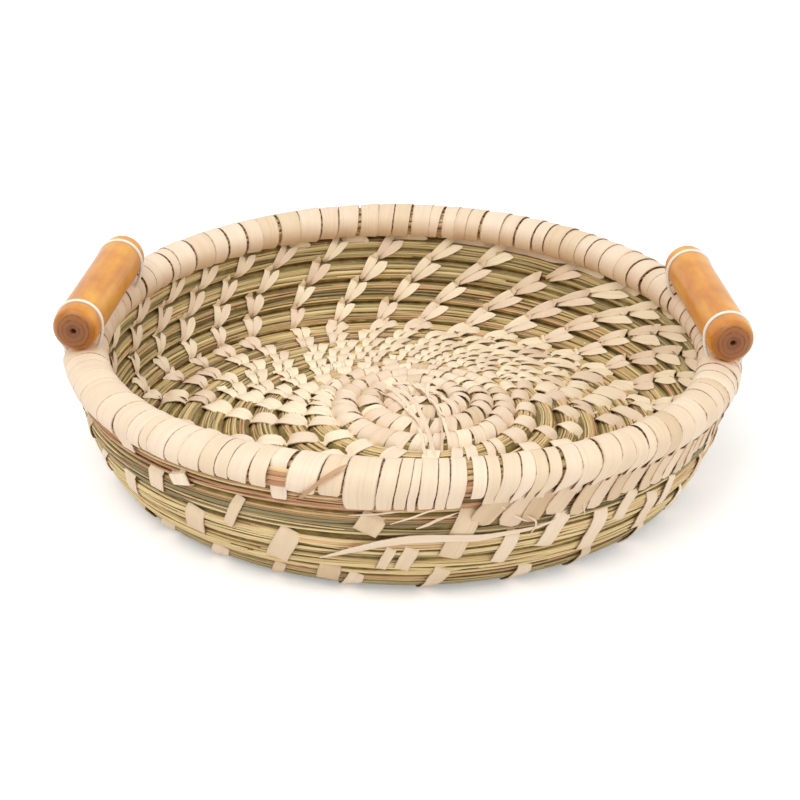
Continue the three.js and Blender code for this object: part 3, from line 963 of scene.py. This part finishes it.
# The rim: its bundle and the strips wound closely round it
rimPlan = {
    "seed": 47,
    # Columns of the strips' edges, as read in enlarged parts of the photo: the section of the rim on which
    # they were read, the directions it spans, the part's first column, its enlargement and the readings
    "seenEdges": (
        (-8, 180, 360, 60, 4.36, (100, 170, 235, 300, 350, 385, 465, 525, 610, 680, 735, 825, 905, 987, 1130, 1235,
                                  1385, 1470, 1530)),
        (-8, 180, 360, 400, 4.36, (165, 220, 380, 445, 530, 590, 650, 795, 885, 965, 1030, 1085, 1120, 1180, 1230,
                                   1285, 1335, 1380)),
        (125, 10, 170, 110, 5.06, (300, 345, 430, 530, 601, 775, 980, 1090, 1285, 1380, 1540)),
        (125, 10, 170, 420, 4.61, (120, 180, 240, 300, 400, 470, 550, 600, 680, 750, 800, 870, 940, 1005, 1065,
                                   1100, 1160)),
    ),
    # Edges listed in degrees: at the back, under the left handle, beside the gaps, under the right handle
    "ownEdges": (
        84.0, 91.6, 103.4, 117.0, 125.3,
        150.1, 152.6, 156.2, 159.0, 163.2, 166.1, 170.3, 172.5, 176.4, 180.2, 183.1, 187.4, 190.6, 194.9, 198.0, 202.3,
        272.9, 279.9, 280.7, 294.8, 295.4,
        334.4, 337.0, 340.8, 343.5, 347.6, 350.2, 354.3, 357.1, 361.0, 364.4, 368.6, 371.9, 376.1, 379.0, 382.1,
    ),
    "gaps": (251.4, 280.3, 295.1),  # directions where the bundle shows through
    "leaning": ((283, 0), (297, 1), (345, 1), (365, 0)),  # on the right front the strips lean
    "overlap": (1.03, 1.13),
    "slant": 0.0060,  # how far a strip moves along the rim from its outer end to its inner end
    "lift": 0.0004,
    "outerEnd": -36,  # where a strip starts and ends, in degrees round the rim's section
    "innerEnd": 222,
    "drop": (-0.003, 0.0012),  # how far it reaches down the wall
    "raggedDrop": (0.0, 0.0030),
    "raggedAngles": (262, 340),
    "tone": (0.53, 0.13),
    # painted shade: tan at the strip's inner end, where it goes into the seam under the rim, and a little at its outer
    # end
    "stain": ((0.0, 0.12), (0.1, 0.0), (0.70, 0.0), (1.0, 0.75)),
    "steps": 20,
    "stalks": 20,
    "stalkShape": {"Sides": 6, "Flatness": 0.8, "Unevenness": 0.0006, "Bump size": 0.006, "Seed": 9.0},
    "coreGrid": (144, 16),
}


def onRim(section, inset, angle):
    radius = tray["rimRadius"] + (tray["rimHalfWidth"] - inset) * np.cos(section)
    height = tray["rimHeight"] + (tray["rimHalfHeight"] - inset) * np.sin(section)
    return bent(radius, height, angle, np.ones_like(np.asarray(angle, float)))


def makeRimBundle(plan):
    rng = np.random.default_rng(plan["seed"])
    guides = Guides()
    angle = np.linspace(0, fullTurn, 141)
    for lane in range(plan["stalks"]):
        start = rng.uniform(0, fullTurn)
        section = fullTurn * lane / plan["stalks"] + 0.15 * np.sin(3 * angle + rng.uniform(0, 6)) * np.sin(angle / 2)
        points = onRim(section, tray["rimBundleInset"] - 0.0004, angle + start)
        tone = rng.uniform(0.88, 1.0) if rng.random() < 0.6 else rng.uniform(0.5, 0.8)
        guides.addRound(points, onRim(section, tray["rimHalfHeight"], angle + start), 0.0013, tone)
    return sweptPiece("rimStraw", guides, plan["stalkShape"], dryGrass)


def makeRimCore(plan):
    count, sides = plan["coreGrid"]
    angle = np.broadcast_to((np.arange(count) * fullTurn / count)[:, None], (count, sides))
    section = (np.arange(sides) * fullTurn / sides)[None, :]
    points = onRim(section, tray["rimBundleInset"] + 0.0003, angle)
    return meshPiece("rimCore", points.reshape(-1, 3), ringsToFaces(count, sides, True), bundleShade)


def stripEdges(plan):
    # the directions of all edges, in degrees; those that the photo shows are worked out with the camera
    edges = list(plan["ownEdges"])
    for section, first, last, left, enlarged, readings in plan["seenEdges"]:
        directions = np.linspace(first, last, (last - first) * 20 + 1)
        columns = pictureColumn(onRim(math.radians(section), 0, np.radians(directions)), cameraPlan)
        order = np.argsort(columns)
        for reading in readings:
            edge = np.interp(left + reading / enlarged, columns[order], directions[order])
            edges.append(round(float(edge), 1))
    return sorted(edges)


def rimStripPath(angle, slant, drop, lift, count, hook, start):
    # up from the top row of the wall, over the rim, and down to the seam on the inside
    section = np.radians(np.linspace(start, rimPlan["innerEnd"], count))
    share = np.linspace(0, 1, count)
    around = angle + slant * (share - 0.5) - hook * np.maximum(0.30 - share, 0) ** 2
    over = onRim(section, -lift, around)
    inner = onRim(section, tray["rimHalfHeight"] - 0.001, around)
    if drop > 0.0005:
        fall = np.linspace(1, 0.3, 3) * drop
        level = wallEdge - 0.004 - fall
        low = onCover(level, around[0] - hook * 3.4 * (fall - fall[-1]), -1, 0.0007 + lift, 0.75)
        over = np.concatenate([low, over])
        inner = np.concatenate([placed(level, np.zeros(3), np.full(3, around[0])), inner])
        for _ in range(3):
            over[1:8] = (over[:7] + 2 * over[1:8] + over[2:9]) / 4
    return over, over - inner


def makeRimStrips(plan):
    rng = np.random.default_rng(plan["seed"] + 1)
    guides = Guides()
    edges = stripEdges(plan)
    for first, last in zip(edges, edges[1:]):
        middle = (first + last) / 2
        bare = min(abs(middle % 360 - gap) for gap in plan["gaps"]) < 0.25
        if bare and middle > 260:
            continue
        ragged = plan["raggedAngles"][0] < middle < plan["raggedAngles"][1]
        leaning = float(steps(middle, *plan["leaning"]))
        drop = rng.uniform(*plan["raggedDrop" if ragged else "drop"])
        slant = plan["slant"] / rimOutside * rng.uniform(0.6, 1.5) * (1.0 + leaning)
        start = 38 if bare else plan["outerEnd"] - 12 * leaning - 12 * (middle < 200) - 6 * ragged
        points, out = rimStripPath(math.radians(middle) + slant / 4, slant, drop, plan["lift"] * rng.uniform(0.5, 1.4),
                                   plan["steps"], 0.25 * leaning, start)
        share = lengthsOf(points)
        share = share / share[-1]
        low = 1.0 - rng.uniform(0.12, 0.30) * leaning
        taper = steps(share, (0, 0.80 - 0.4 * leaning), (0.03, 0.95 - 0.35 * leaning), (0.12, low), (0.28, 1.0),
                      (0.95, 1.0), (1.0, 0.95))
        overlap = rng.uniform(*plan["overlap"]) + 0.05 * leaning + 0.03 * (middle > 330 or middle < 65)
        width = math.radians(last - first) * overlap / 2 * taper * np.hypot(points[:, 0], points[:, 1])
        stain = steps(share, *plan["stain"]) * rng.uniform(0.2, 1.0)
        tone = np.clip(rng.normal(plan["tone"][0], plan["tone"][1] + 0.05 * leaning), 0.1, 0.75)
        guides.add(points, out, width, tone, tilt=0.018 + rng.uniform(0, 0.03), stain=stain)
    return sweptPiece("rimStrips", guides, dict(ribbonShape, Flatness=0.05, Seed=7.0), palmStrip)


makeRimBundle(rimPlan)
rimCore = makeRimCore(rimPlan)
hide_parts("rim_coil")
rimStrips = makeRimStrips(rimPlan)
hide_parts("rim_wrap")

# The close stitches of the top row on its right front, and the loose ends on the outside
tierPlan = {
    "seed": 59,
    "from": 284.5,
    "to": 356.0,
    "pitch": ((284, 0.0120), (306, 0.0100), (330, 0.0080)),
    "reach": (0.2000, 0.2045),  # distance of the lower ends along the surface
    "slant": (3.0, 5.0),
    "taper": ((0, 0.55), (0.08, 0.86), (0.25, 1.0), (1, 0.95)),
    # a darker tone than the other strips: partly their own colour, partly painted shade under the rim's edge
    "tone": (0.24, 0.16),
    "leaf": ((0.1795, 256.8), (0.1880, 261.5), (0.1930, 267.2), (0.1965, 272.1), (0.1971, 276.6), (0.1948, 282.0),
             (0.1966, 287.7), (0.1976, 292.4), (0.2008, 295.4)),
    "leafWidth": 0.0036,
    "leafTaper": ((0, 0.12), (0.15, 0.7), (0.35, 1.0), (0.6, 0.8), (0.75, 0.5), (1.0, 0.2)),
    "frays": (
        ((0.2050, 268.5), (0.2075, 271.5), (0.2120, 274.0), (0.2150, 277.5)),
        ((0.2030, 272.5), (0.2060, 275.0), (0.2110, 279.0)),
        ((0.2085, 262.0), (0.2100, 266.0), (0.2125, 270.5)),
        ((0.2065, 281.5), (0.2110, 282.0), (0.2150, 284.0)),
        ((0.2140, 285.5), (0.2080, 287.0), (0.2020, 290.5)),
        ((0.2060, 290.0), (0.2020, 292.0), (0.1930, 291.2)),
        ((0.2130, 300.5), (0.2050, 300.0), (0.1990, 300.8)),
    ),
    "frayWidth": (0.0005, 0.0011),
    "frayTaper": ((0, 0.3), (0.3, 1), (0.8, 0.8), (1, 0.1)),
    # section and direction on the rim
    "darkEnd": ((-95, 253.2), (-54, 254.2), (-10, 256.5), (20, 258.4), (43, 260.2), (62, 262.0)),
    "darkWidth": 0.0012,
    "darkTaper": ((0, 0.5), (0.3, 1), (0.85, 1), (1, 0.3)),
}


def followed(stops, count):
    # a smooth path through a few places
    stops = np.array(stops, float)
    share = np.linspace(0, len(stops) - 1, count)
    rough = np.stack([np.interp(share, np.arange(len(stops)), stops[:, axis]) for axis in (0, 1)], 1)
    for _ in range(3):
        rough[1:-1] = (rough[:-2] + 2 * rough[1:-1] + rough[2:]) / 4
    return rough[:, 0], np.radians(rough[:, 1])


def makeLooseEnds(plan):
    rng = np.random.default_rng(plan["seed"])
    guides = Guides()
    direction = plan["from"]
    q = np.linspace(0, 1, 8)
    while direction < plan["to"]:
        pitch = float(steps(direction, *plan["pitch"]))
        low = rng.uniform(*plan["reach"]) + 0.0035 * np.clip((direction - 300) / 50, 0, 1)
        slant = rng.uniform(*plan["slant"])
        distance = low + (wallEdge + 0.001 - low) * q
        angle = np.radians(direction - slant / 2 + slant * q ** 1.3)
        lift = 0.0004 + 0.0004 * rng.random() + steps(q, (0, -0.0008), (0.12, 0))
        width = pitch * 0.64 * rng.uniform(0.85, 1.1) * steps(q, *plan["taper"])
        # the random tan on these strips is partly stain, partly painted shade under the rim
        guides.addOn(onCover(distance, angle, -1, lift, 0.95), distance, angle, width,
                     np.clip(rng.normal(*plan["tone"]), 0, 1), tilt=0.04 + 0.05 * rng.random(),
                     stain=0.3 * rng.random())
        direction += math.degrees(pitch / 0.185) * rng.uniform(0.75, 1.3)
    q = np.linspace(0, 1, 26)
    distance, angle = followed(plan["leaf"], 26)
    points = onCover(distance, angle, -1, 0.0012 + 0.0006 * np.sin(math.pi * q), 0.85)
    width = plan["leafWidth"] * steps(q, *plan["leafTaper"])
    guides.addOn(points, distance, angle, width, 0.60, tilt=0.12)
    q = np.linspace(0, 1, 10)
    for stops in plan["frays"]:
        distance, angle = followed(stops, 10)
        points = onCover(distance, angle, -1, 0.0010 + 0.0012 * rng.random(), 0.80)
        width = rng.uniform(*plan["frayWidth"]) * steps(q, *plan["frayTaper"])
        guides.addOn(points, distance, angle, width, rng.uniform(0.6, 1.0), tilt=rng.normal() * 0.3,
                     stain=0.4 * rng.random())
    q = np.linspace(0, 1, 12)
    section, angle = followed(plan["darkEnd"], 12)
    points = onRim(np.radians(section), -0.0026, angle)
    width = plan["darkWidth"] * steps(q, *plan["darkTaper"])
    guides.add(points, points - onRim(np.radians(section), 0.008, angle), width, 0.0, stain=0.9)
    sweptPiece("looseEnds", guides, dict(ribbonShape, Seed=13.0), palmStrip)


makeLooseEnds(tierPlan)

# The handles: turned dowels with a round groove near each end
handlePlan = {
    "radius": 0.0127,
    "length": 0.118,
    "rounding": 0.0062,
    "grooveAt": 0.0457,
    "grooveDepth": 0.0012,
    "grooveWidth": 0.0034,
    "pithRadius": 0.0013,
    "pithDepth": 0.004,
    "inset": 0.0051,
    "back": 4.0,
    "toeIn": 2.6,
    "facets": 72,
    "patches": ((0.30, (0.80, 0.48, 0.11)), (0.50, (0.87, 0.565, 0.125)), (0.70, (0.93, 0.66, 0.20))),
    "patchScale": (75.0, 34.0, 75.0),
    "grain": (0.70, 0.40, 0.16),
    "grainScale": (300.0, 16.0, 300.0),
    "rings": ((0.0, (0.63, 0.39, 0.175)), (0.30, (0.61, 0.37, 0.165)), (0.55, (0.48, 0.26, 0.12))),
    "ringScale": 2300.0,
    "ringWobble": 0.0030,
    "pith": (0.31, 0.13, 0.08),
    "pithShade": ((0.0, 1), (0.0016, 1), (0.0030, 0.50), (0.0068, 0.26), (0.0092, 0)),
    "varnish": 0.35,
}
handleHeight = (tray["rimHeight"] - tray["rimDip"] + tray["rimHalfHeight"] + tray["seatGap"]
                + handlePlan["radius"])


def handleMatrix(side):
    back = math.radians(handlePlan["back"])
    angle = back if side > 0 else math.pi - back
    radius = tray["rimRadius"] - handlePlan["inset"]
    spot = Matrix.Translation((radius * math.cos(angle), radius * math.sin(angle), handleHeight))
    return spot @ Matrix.Rotation(side * (back + math.radians(handlePlan["toeIn"])), 4, "Z")


def handleOutline(plan):
    # radius and place along the axis, from the pith hole to the middle
    end, pith, flat = plan["length"] / 2, plan["pithRadius"], plan["radius"] - plan["rounding"]
    line = [(0.0, end - plan["pithDepth"]), (pith * 0.8, end - plan["pithDepth"] + 0.0004),
            (pith, end - 0.0012), (pith * 1.25, end - 0.0004)]
    line += [(pith * 1.25 + (flat - pith * 1.25) * k / 4, end - 0.0002 * (k == 4)) for k in range(1, 5)]
    for k in range(1, 9):
        turn = math.pi / 2 * k / 8
        line.append((flat + plan["rounding"] * math.sin(turn), end - plan["rounding"] * (1 - math.cos(turn))))
    at, wide, deep = plan["grooveAt"], plan["grooveWidth"] / 2, plan["grooveDepth"]
    line.append((plan["radius"], at + wide + 0.0004))
    for k in range(9):
        turn = math.pi * k / 8
        line.append((plan["radius"] - deep * math.sin(turn), at + wide * math.cos(turn)))
    line.append((plan["radius"], at - wide - 0.0004))
    line += [(plan["radius"] * (1 + 0.004 * math.sin(k)), (at - wide) * (1 - k / 7)) for k in range(1, 7)]
    return line


def woodFinish(name, plan):
    # varnished wood along the dowel, and dull rings with a dark pith on its ends
    paint = Paint(name)
    local = paint.attribute("turned", "Vector")
    x, y, z = paint.node("ShaderNodeSeparateXYZ", {"Vector": local}).node.outputs
    grain = paint.noise(paint.spot(*zip((x, y, z), plan["grainScale"])), 1.0, 4.0)
    patches = paint.noise(paint.spot(*zip((x, y, z), plan["patchScale"])), 1.0, 2.5)
    lines = paint.times(paint.ramp(grain, (0.47, 0), (0.70, 1)), 0.30)
    sides = paint.mix(lines, paint.ramp(patches, *plan["patches"]), plan["grain"])
    away = paint.maths("SQRT", paint.maths("ADD", paint.times(x, x), paint.times(z, z)))
    wobble = paint.times(paint.maths("SUBTRACT", paint.noise(local, 150.0, 1.5), 0.5), plan["ringWobble"])
    rings = paint.maths("SINE", paint.times(paint.maths("ADD", away, wobble), plan["ringScale"]))
    broken = paint.maths("SUBTRACT", rings, paint.times(paint.noise(local, 330.0, 2.0), 0.9))
    dark = paint.ramp(away, *plan["pithShade"])
    ends = paint.mix(paint.times(dark, 0.8), paint.ramp(broken, *plan["rings"]), plan["pith"])
    end = plan["length"] / 2
    onEnd = paint.ramp(paint.maths("ABSOLUTE", y), (end - 0.0042, 0), (end - 0.0014, 1))
    onEnd = paint.maths("MAXIMUM", onEnd, paint.maths("LESS_THAN", away, 0.0030))
    paint.bump(grain, 0.10, 0.0003)
    varnish = paint.times(paint.maths("SUBTRACT", 1.0, onEnd), plan["varnish"])
    return paint.finish(Base_Color=paint.mix(onEnd, sides, ends), Roughness=0.45, Coat_Weight=varnish,
                        Coat_Roughness=0.16)


def makeHandle(name, node, body, side, finish, plan):
    half = handleOutline(plan)
    outline = half + [(radius, -along) for radius, along in reversed(half)]
    facets, rings = plan["facets"], len(outline) - 2
    turns = [fullTurn * facet / facets for facet in range(facets)]
    local = [Vector((radius * math.cos(turn), along, radius * math.sin(turn)))
             for radius, along in outline[1:-1] for turn in turns]
    faces = ringsToFaces(rings, facets, False, capped=False)
    for (_, along), ring in ((outline[0], 0), (outline[-1], rings - 1)):
        faces += [(len(local), ring * facets + facet, ring * facets + (facet + 1) % facets) for facet in range(facets)]
        local.append(Vector((0, along, 0)))
    place = handleMatrix(side)
    piece = meshPiece(name, [place @ spot for spot in local], faces, finish, body=body)
    turned = piece.data.attributes.new("turned", "FLOAT_VECTOR", "POINT")
    turned.data.foreach_set("vector", [c for spot in local for c in spot])
    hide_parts(node)


amberWood = woodFinish("amberWood", handlePlan)
makeHandle("handleLeftWood", "handle_left", "left_handle", -1, amberWood, handlePlan)
makeHandle("handleRightWood", "handle_right", "right_handle", 1, amberWood, handlePlan)
print("handles made")

# The cord loops that hold the handles
cordPlan = {
    "diameter": 0.0020,
    "depth": 0.0086,
    "steps": 72,
    "sides": 10,
    "twist": 5200.0,
    # the colours follow the twist: painted shade, darker and yellower in its grooves
    "twistShadeColours": ((0.0, (0.95, 0.925, 0.86)), (0.6, (0.97, 0.955, 0.91)), (1.0, (0.98, 0.97, 0.93))),
}


def cordFinish(plan):
    paint = Paint("cottonCord")
    across, along = paint.attribute("across"), paint.attribute("along")
    twist = paint.maths("SINE", paint.maths("ADD", paint.times(along, plan["twist"]), paint.times(across, 3.0)))
    paint.bump(twist, 0.12, 0.0002)
    # painted shade: the cord is a little darker and yellower in the grooves of its twist, where the bump is low
    return paint.finish(Base_Color=paint.ramp(twist, *plan["twistShadeColours"]), Roughness=0.7)


cottonCord = cordFinish(cordPlan)


def makeCordLoop(name, node, side, end, plan):
    place = handleMatrix(side) @ Matrix.Translation((0, end * handlePlan["grooveAt"], 0))
    radius = handlePlan["radius"] - handlePlan["grooveDepth"] + tray["seatGap"] + plan["diameter"] / 2
    deep = handlePlan["radius"] + tray["seatGap"] + plan["depth"]
    axis = Vector((0, 1, 0))
    vertices, along, across = [], [], []
    for step in range(plan["steps"]):
        turn = fullTurn * step / plan["steps"]
        drop = deep if math.sin(turn) < 0 else radius
        centre = Vector((radius * math.cos(turn), 0, drop * math.sin(turn)))
        out = Vector((-radius * math.sin(turn), 0, drop * math.cos(turn))).normalized().cross(axis)
        for number in range(plan["sides"]):
            around = fullTurn * number / plan["sides"]
            spoke = (out * math.cos(around) + axis * math.sin(around)) * plan["diameter"] / 2
            vertices.append(place @ (centre + spoke))
            along.append(turn * radius)
            across.append(math.sin(around))
    piece = meshPiece(name, vertices, ringsToFaces(plan["steps"], plan["sides"], True), cottonCord)
    for key, values in (("along", along), ("across", across)):
        piece.data.attributes.new(key, "FLOAT", "POINT").data.foreach_set("value", values)
    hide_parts(node)


for side, word in ((-1, "left"), (1, "right")):
    for end, where in ((-1, "front"), (1, "back")):
        makeCordLoop(f"cord_{word}_{where}", f"cord_loop_{word}_{where}", side, end, cordPlan)
print("cord loops made")

# The floor, the lamps and the sky
stagePlan = {
    "floorSize": 8.0,
    "floorColour": 0.92,
    "floorGlow": 0.30,
    "sky": 0.72,
    "lamps": (("keyLamp", 19.5, (-0.55, -0.85, 1.9), 1.3), ("fillLamp", 5.0, (1.3, -0.4, 1.2), 1.2)),
    "lampTarget": (0, 0, 0.03),
}


def seenDirectly(net):
    # 1 for what the camera sees, also in a reflection or through glass
    path = net.node("ShaderNodeLightPath").node.outputs
    seen = net.maths("MAXIMUM", path["Is Camera Ray"], path["Is Glossy Ray"])
    return net.maths("MAXIMUM", seen, path["Is Transmission Ray"])


def makeStage(plan):
    size = plan["floorSize"]
    mesh = bpy.data.meshes.new("floor")
    mesh.from_pydata([(-size, -size, 0), (size, -size, 0), (size, size, 0), (-size, size, 0)], [], [(0, 1, 2, 3)])
    floor = bpy.data.objects.new("floor", mesh)
    bpy.context.scene.collection.objects.link(floor)
    paint = Paint("paleFloor")
    mesh.materials.append(paint.finish(
        Base_Color=(plan["floorColour"],) * 3 + (1.0,), Roughness=0.9, Specular_IOR_Level=0.0,
        Emission_Color=(1.0, 1.0, 1.0, 1.0), Emission_Strength=paint.times(seenDirectly(paint), plan["floorGlow"])))

    world = bpy.data.worlds.new("sky")
    bpy.context.scene.world = world
    world.use_nodes = True
    sky = Net(world.node_tree)
    level = sky.node("ShaderNodeMapRange", {"Value": seenDirectly(sky), "To Min": plan["sky"], "To Max": 1.0}, "Result")
    for key, value in (("Color", (1.0, 1.0, 1.0, 1.0)), ("Strength", level)):
        sky.fill(sky.nodes["Background"].inputs[key], value)

    for name, power, spot, width in plan["lamps"]:
        lamp = bpy.data.lights.new(name, "AREA")
        lamp.energy = power
        lamp.size = width
        lampObject = bpy.data.objects.new(name, lamp)
        lampObject.location = spot
        aim = Vector(plan["lampTarget"]) - Vector(spot)
        lampObject.rotation_euler = aim.to_track_quat("-Z", "Y").to_euler()
        bpy.context.scene.collection.objects.link(lampObject)


makeStage(stagePlan)
bpy.context.scene.view_settings.view_transform = "Standard"
print("stage ready")
